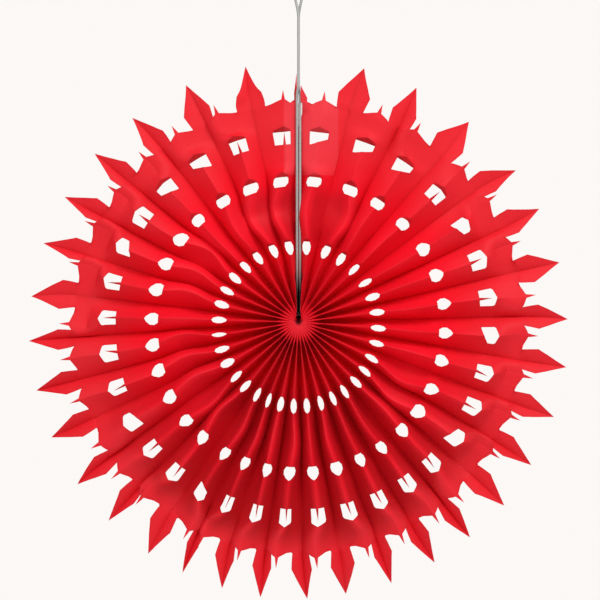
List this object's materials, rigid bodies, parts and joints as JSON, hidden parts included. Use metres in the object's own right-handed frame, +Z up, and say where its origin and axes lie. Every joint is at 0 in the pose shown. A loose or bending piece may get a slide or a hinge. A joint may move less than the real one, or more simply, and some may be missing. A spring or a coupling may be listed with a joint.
{
  "type": "hanging paper fan",
  "caption": "Round pleated tissue-paper fan with a die-cut star edge and three rings of punched holes, hung flat on a doubled cord with a loop; it folds down to a flat bundle.",
  "frame": {"origin": "inside the top of the hanging loop, where a hook carries the fan", "axes": "+Z up, +X to the right seen from the front, the front faces -Y"},
  "size_m": [0.4073, 0.0207, 0.4923],
  "materials": {
    "tissue": "matt tissue paper, slightly see-through",
    "cord": "satin twisted cord",
    "thread": "matt cotton",
    "tape": "satin tape"
  },
  "bodies": {
    "loop": {"hanging_loop": "cord"},
    "upper_cord": {"cord_upper_front": "cord", "cord_upper_back": "cord"},
    "hub": {"gather_thread": "thread", "hub_knot": "cord", "cord_lower_left": "cord", "cord_lower_right": "cord"},
    "pleat_01": {"pleat_01": "tissue", "seam_tapes": "tape"},
    "pleat_02": {"pleat_02": "tissue"},
    "pleat_03": {"pleat_03": "tissue"},
    "pleat_04": {"pleat_04": "tissue"},
    "pleat_05": {"pleat_05": "tissue"},
    "pleat_06": {"pleat_06": "tissue"},
    "pleat_07": {"pleat_07": "tissue"},
    "pleat_08": {"pleat_08": "tissue"},
    "pleat_09": {"pleat_09": "tissue"},
    "pleat_10": {"pleat_10": "tissue"},
    "pleat_11": {"pleat_11": "tissue"},
    "pleat_12": {"pleat_12": "tissue"},
    "pleat_13": {"pleat_13": "tissue"},
    "pleat_14": {"pleat_14": "tissue"},
    "pleat_15": {"pleat_15": "tissue"},
    "pleat_16": {"pleat_16": "tissue"},
    "pleat_17": {"pleat_17": "tissue"},
    "pleat_18": {"pleat_18": "tissue"},
    "pleat_19": {"pleat_19": "tissue"},
    "pleat_20": {"pleat_20": "tissue"},
    "pleat_21": {"pleat_21": "tissue"},
    "pleat_22": {"pleat_22": "tissue"},
    "pleat_23": {"pleat_23": "tissue"},
    "pleat_24": {"pleat_24": "tissue"},
    "pleat_25": {"pleat_25": "tissue"},
    "pleat_26": {"pleat_26": "tissue"},
    "pleat_27": {"pleat_27": "tissue"},
    "pleat_28": {"pleat_28": "tissue"},
    "pleat_29": {"pleat_29": "tissue"},
    "pleat_30": {"pleat_30": "tissue"},
    "pleat_31": {"pleat_31": "tissue"},
    "pleat_32": {"pleat_32": "tissue"},
    "pleat_33": {"pleat_33": "tissue"}
  },
  "joints": [
    {"name": "cord_swing", "type": "hinge", "parent": "loop", "child": "upper_cord", "pos_m": [0, 0, -0.052], "axis": [0, 1, 0], "range_deg": [-35, 35]},
    {"name": "fan_turn", "type": "hinge", "parent": "upper_cord", "child": "hub", "pos_m": [0, 0, -0.113], "axis": [0, 0, 1], "range_deg": [-180, 180]},
    {"name": "fold_01", "type": "hinge", "parent": "hub", "child": "pleat_01", "pos_m": [0, 0, -0.281], "axis": [0, 1, 0], "range_deg": [0, 166.41], "deforming": ["pleat_01"]},
    {"name": "fold_02", "type": "hinge", "parent": "hub", "child": "pleat_02", "pos_m": [0, 0, -0.281], "axis": [0, 1, 0], "range_deg": [0, 153.65], "deforming": ["pleat_02"]},
    {"name": "fold_03", "type": "hinge", "parent": "hub", "child": "pleat_03", "pos_m": [0, 0, -0.281], "axis": [0, 1, 0], "range_deg": [0, 140.97], "deforming": ["pleat_03"]},
    {"name": "fold_04", "type": "hinge", "parent": "hub", "child": "pleat_04", "pos_m": [0, 0, -0.281], "axis": [0, 1, 0], "range_deg": [0, 128.51], "deforming": ["pleat_04"]},
    {"name": "fold_05", "type": "hinge", "parent": "hub", "child": "pleat_05", "pos_m": [0, 0, -0.281], "axis": [0, 1, 0], "range_deg": [0, 116.38], "deforming": ["pleat_05"]},
    {"name": "fold_06", "type": "hinge", "parent": "hub", "child": "pleat_06", "pos_m": [0, 0, -0.281], "axis": [0, 1, 0], "range_deg": [0, 104.64], "deforming": ["pleat_06"]},
    {"name": "fold_07", "type": "hinge", "parent": "hub", "child": "pleat_07", "pos_m": [0, 0, -0.281], "axis": [0, 1, 0], "range_deg": [0, 93.31], "deforming": ["pleat_07"]},
    {"name": "fold_08", "type": "hinge", "parent": "hub", "child": "pleat_08", "pos_m": [0, 0, -0.281], "axis": [0, 1, 0], "range_deg": [0, 82.38], "deforming": ["pleat_08"]},
    {"name": "fold_09", "type": "hinge", "parent": "hub", "child": "pleat_09", "pos_m": [0, 0, -0.281], "axis": [0, 1, 0], "range_deg": [0, 71.84], "deforming": ["pleat_09"]},
    {"name": "fold_10", "type": "hinge", "parent": "hub", "child": "pleat_10", "pos_m": [0, 0, -0.281], "axis": [0, 1, 0], "range_deg": [0, 61.65], "deforming": ["pleat_10"]},
    {"name": "fold_11", "type": "hinge", "parent": "hub", "child": "pleat_11", "pos_m": [0, 0, -0.281], "axis": [0, 1, 0], "range_deg": [0, 51.77], "deforming": ["pleat_11"]},
    {"name": "fold_12", "type": "hinge", "parent": "hub", "child": "pleat_12", "pos_m": [0, 0, -0.281], "axis": [0, 1, 0], "range_deg": [0, 42.15], "deforming": ["pleat_12"]},
    {"name": "fold_13", "type": "hinge", "parent": "hub", "child": "pleat_13", "pos_m": [0, 0, -0.281], "axis": [0, 1, 0], "range_deg": [0, 32.75], "deforming": ["pleat_13"]},
    {"name": "fold_14", "type": "hinge", "parent": "hub", "child": "pleat_14", "pos_m": [0, 0, -0.281], "axis": [0, 1, 0], "range_deg": [0, 23.54], "deforming": ["pleat_14"]},
    {"name": "fold_15", "type": "hinge", "parent": "hub", "child": "pleat_15", "pos_m": [0, 0, -0.281], "axis": [0, 1, 0], "range_deg": [0, 14.46], "deforming": ["pleat_15"]},
    {"name": "fold_16", "type": "hinge", "parent": "hub", "child": "pleat_16", "pos_m": [0, 0, -0.281], "axis": [0, 1, 0], "range_deg": [0, 5.5], "deforming": ["pleat_16"]},
    {"name": "fold_17", "type": "hinge", "parent": "hub", "child": "pleat_17", "pos_m": [0, 0, -0.281], "axis": [0, 1, 0], "range_deg": [-3.43, 0], "deforming": ["pleat_17"]},
    {"name": "fold_18", "type": "hinge", "parent": "hub", "child": "pleat_18", "pos_m": [0, 0, -0.281], "axis": [0, 1, 0], "range_deg": [-12.3, 0], "deforming": ["pleat_18"]},
    {"name": "fold_19", "type": "hinge", "parent": "hub", "child": "pleat_19", "pos_m": [0, 0, -0.281], "axis": [0, 1, 0], "range_deg": [-21.17, 0], "deforming": ["pleat_19"]},
    {"name": "fold_20", "type": "hinge", "parent": "hub", "child": "pleat_20", "pos_m": [0, 0, -0.281], "axis": [0, 1, 0], "range_deg": [-30.09, 0], "deforming": ["pleat_20"]},
    {"name": "fold_21", "type": "hinge", "parent": "hub", "child": "pleat_21", "pos_m": [0, 0, -0.281], "axis": [0, 1, 0], "range_deg": [-39.08, 0], "deforming": ["pleat_21"]},
    {"name": "fold_22", "type": "hinge", "parent": "hub", "child": "pleat_22", "pos_m": [0, 0, -0.281], "axis": [0, 1, 0], "range_deg": [-48.18, 0], "deforming": ["pleat_22"]},
    {"name": "fold_23", "type": "hinge", "parent": "hub", "child": "pleat_23", "pos_m": [0, 0, -0.281], "axis": [0, 1, 0], "range_deg": [-57.44, 0], "deforming": ["pleat_23"]},
    {"name": "fold_24", "type": "hinge", "parent": "hub", "child": "pleat_24", "pos_m": [0, 0, -0.281], "axis": [0, 1, 0], "range_deg": [-66.89, 0], "deforming": ["pleat_24"]},
    {"name": "fold_25", "type": "hinge", "parent": "hub", "child": "pleat_25", "pos_m": [0, 0, -0.281], "axis": [0, 1, 0], "range_deg": [-76.57, 0], "deforming": ["pleat_25"]},
    {"name": "fold_26", "type": "hinge", "parent": "hub", "child": "pleat_26", "pos_m": [0, 0, -0.281], "axis": [0, 1, 0], "range_deg": [-86.53, 0], "deforming": ["pleat_26"]},
    {"name": "fold_27", "type": "hinge", "parent": "hub", "child": "pleat_27", "pos_m": [0, 0, -0.281], "axis": [0, 1, 0], "range_deg": [-96.8, 0], "deforming": ["pleat_27"]},
    {"name": "fold_28", "type": "hinge", "parent": "hub", "child": "pleat_28", "pos_m": [0, 0, -0.281], "axis": [0, 1, 0], "range_deg": [-107.44, 0], "deforming": ["pleat_28"]},
    {"name": "fold_29", "type": "hinge", "parent": "hub", "child": "pleat_29", "pos_m": [0, 0, -0.281], "axis": [0, 1, 0], "range_deg": [-118.46, 0], "deforming": ["pleat_29"]},
    {"name": "fold_30", "type": "hinge", "parent": "hub", "child": "pleat_30", "pos_m": [0, 0, -0.281], "axis": [0, 1, 0], "range_deg": [-129.9, 0], "deforming": ["pleat_30"]},
    {"name": "fold_31", "type": "hinge", "parent": "hub", "child": "pleat_31", "pos_m": [0, 0, -0.281], "axis": [0, 1, 0], "range_deg": [-141.74, 0], "deforming": ["pleat_31"]},
    {"name": "fold_32", "type": "hinge", "parent": "hub", "child": "pleat_32", "pos_m": [0, 0, -0.281], "axis": [0, 1, 0], "range_deg": [-153.96, 0], "deforming": ["pleat_32"]},
    {"name": "fold_33", "type": "hinge", "parent": "hub", "child": "pleat_33", "pos_m": [0, 0, -0.281], "axis": [0, 1, 0], "range_deg": [-166.48, 0], "deforming": ["pleat_33"]}
  ],
  "couplings": [
    {"joint": "fold_02", "follows": "fold_01", "ratio": 0.92325},
    {"joint": "fold_03", "follows": "fold_01", "ratio": 0.84705},
    {"joint": "fold_04", "follows": "fold_01", "ratio": 0.7722},
    {"joint": "fold_05", "follows": "fold_01", "ratio": 0.69931},
    {"joint": "fold_06", "follows": "fold_01", "ratio": 0.62875},
    {"joint": "fold_07", "follows": "fold_01", "ratio": 0.56065},
    {"joint": "fold_08", "follows": "fold_01", "ratio": 0.49501},
    {"joint": "fold_09", "follows": "fold_01", "ratio": 0.43166},
    {"joint": "fold_10", "follows": "fold_01", "ratio": 0.37042},
    {"joint": "fold_11", "follows": "fold_01", "ratio": 0.31102},
    {"joint": "fold_12", "follows": "fold_01", "ratio": 0.25322},
    {"joint": "fold_13", "follows": "fold_01", "ratio": 0.19675},
    {"joint": "fold_14", "follows": "fold_01", "ratio": 0.14138},
    {"joint": "fold_15", "follows": "fold_01", "ratio": 0.08686},
    {"joint": "fold_16", "follows": "fold_01", "ratio": 0.032965},
    {"joint": "fold_17", "follows": "fold_01", "ratio": -0.020527},
    {"joint": "fold_18", "follows": "fold_01", "ratio": -0.073833},
    {"joint": "fold_19", "follows": "fold_01", "ratio": -0.12717},
    {"joint": "fold_20", "follows": "fold_01", "ratio": -0.18074},
    {"joint": "fold_21", "follows": "fold_01", "ratio": -0.23477},
    {"joint": "fold_22", "follows": "fold_01", "ratio": -0.28948},
    {"joint": "fold_23", "follows": "fold_01", "ratio": -0.34511},
    {"joint": "fold_24", "follows": "fold_01", "ratio": -0.40188},
    {"joint": "fold_25", "follows": "fold_01", "ratio": -0.46006},
    {"joint": "fold_26", "follows": "fold_01", "ratio": -0.5199},
    {"joint": "fold_27", "follows": "fold_01", "ratio": -0.58166},
    {"joint": "fold_28", "follows": "fold_01", "ratio": -0.64556},
    {"joint": "fold_29", "follows": "fold_01", "ratio": -0.71182},
    {"joint": "fold_30", "follows": "fold_01", "ratio": -0.78054},
    {"joint": "fold_31", "follows": "fold_01", "ratio": -0.85171},
    {"joint": "fold_32", "follows": "fold_01", "ratio": -0.92514},
    {"joint": "fold_33", "follows": "fold_01", "ratio": -1.0004}
  ]
}
